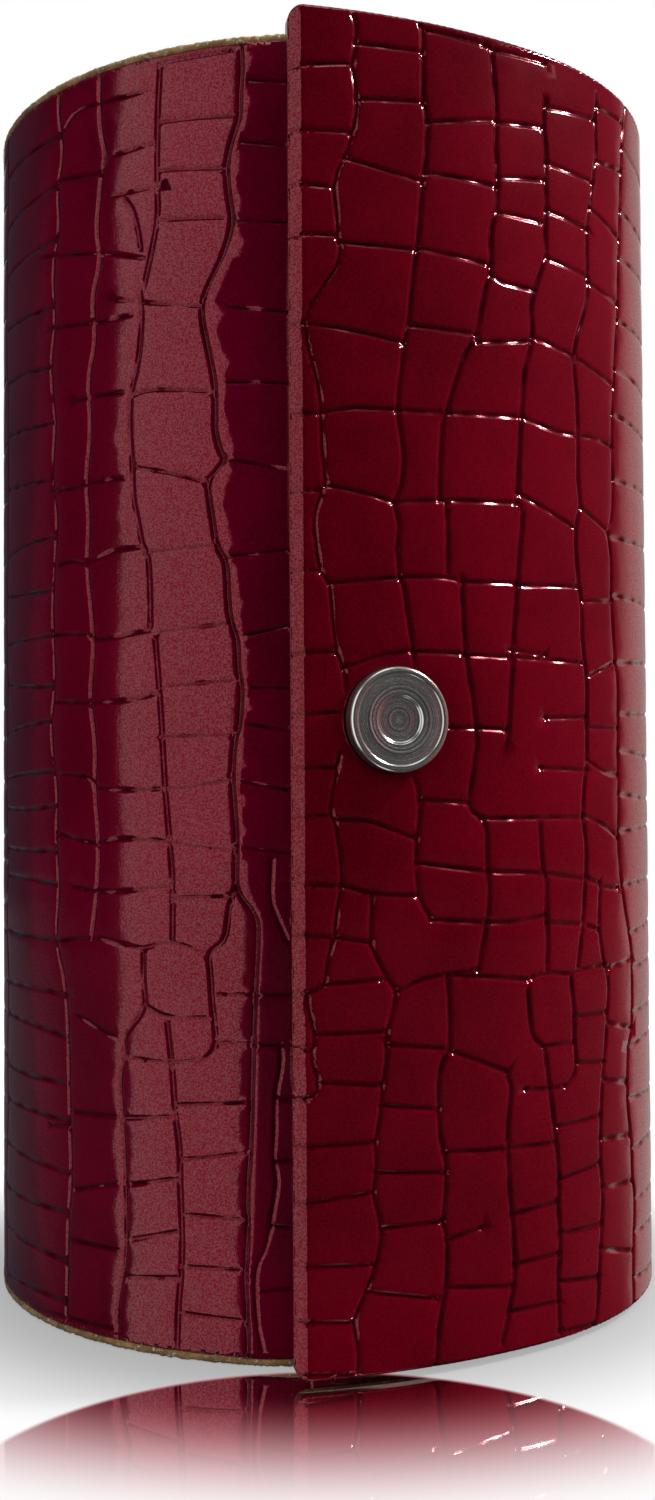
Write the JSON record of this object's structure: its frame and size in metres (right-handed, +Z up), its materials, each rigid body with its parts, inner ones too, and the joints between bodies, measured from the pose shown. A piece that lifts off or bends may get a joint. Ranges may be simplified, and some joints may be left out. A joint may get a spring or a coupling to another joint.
{
  "type": "bangle box",
  "caption": "Upright round bangle box in glossy crocodile-embossed leatherette, with a hinged overlapping flap, a round metal snap and a padded velvet roll inside.",
  "frame": {"origin": "centre of the round bottom end, on the face that the box stands on", "axes": "+Z up along the tube's axis, -Y towards the flap's free edge and the snap, +X towards the middle of the flap"},
  "size_m": [0.1034, 0.1105, 0.1803],
  "materials": {
    "croc_leatherette": "glossy patent with a crocodile emboss",
    "hinge_leatherette": "glossy patent, smooth",
    "raw_backing": "raw cut knit, tan",
    "grey_board": "raw board",
    "velvet_lining": "short pile velvet",
    "roll_velvet": "short pile velvet, padded",
    "nickel": "dark nickel, lathe cut",
    "steel": "zinc plated",
    "magnet": "nickel plated, matt",
    "socket_plastic": "moulded, satin black",
    "beech": "sanded",
    "foam": "open-cell foam",
    "tube_board": "spiral-wound kraft tube",
    "bush_plastic": "moulded"
  },
  "bodies": {
    "case": {"case_board": "grey_board", "case_backing": "raw_backing", "case_cover": "croc_leatherette", "case_lining": "velvet_lining", "bottom_end_board": "grey_board", "bottom_end_cover": "croc_leatherette", "bottom_end_lining": "velvet_lining", "top_end_board": "grey_board", "top_end_cover": "croc_leatherette", "top_end_lining": "velvet_lining", "hinge_leather": "hinge_leatherette", "hinge_lining": "velvet_lining", "striker_plate": "steel", "striker_washer": "steel", "bottom_rod_socket": "socket_plastic", "top_rod_socket": "socket_plastic", "socket_screws": "steel"},
    "flap": {"flap_board": "grey_board", "flap_cover": "croc_leatherette", "flap_lining": "velvet_lining", "snap_cap": "nickel", "snap_rivet": "steel", "magnet_cup": "steel", "snap_magnet": "magnet"},
    "rod": {"rod": "beech"},
    "roll": {"roll_cover": "roll_velvet", "roll_foam": "foam", "roll_tube": "tube_board", "bottom_roll_plug": "beech", "top_roll_plug": "beech", "bottom_roll_bush": "bush_plastic", "top_roll_bush": "bush_plastic"}
  },
  "joints": [
    {"name": "flap_hinge", "type": "hinge", "parent": "case", "child": "flap", "pos_m": [0.00625, 0.05092, 0.09], "axis": [0, 0, 1], "range_deg": [0, 165], "deforming": ["hinge_leather", "hinge_lining"]},
    {"name": "rod_lift", "type": "slide", "parent": "case", "child": "rod", "axis": [1, 0, 0], "range_m": [0, 0.022]},
    {"name": "roll_spin", "type": "hinge", "parent": "rod", "child": "roll", "pos_m": [0, 0, 0.09], "axis": [0, 0, 1], "continuous": true}
  ]
}
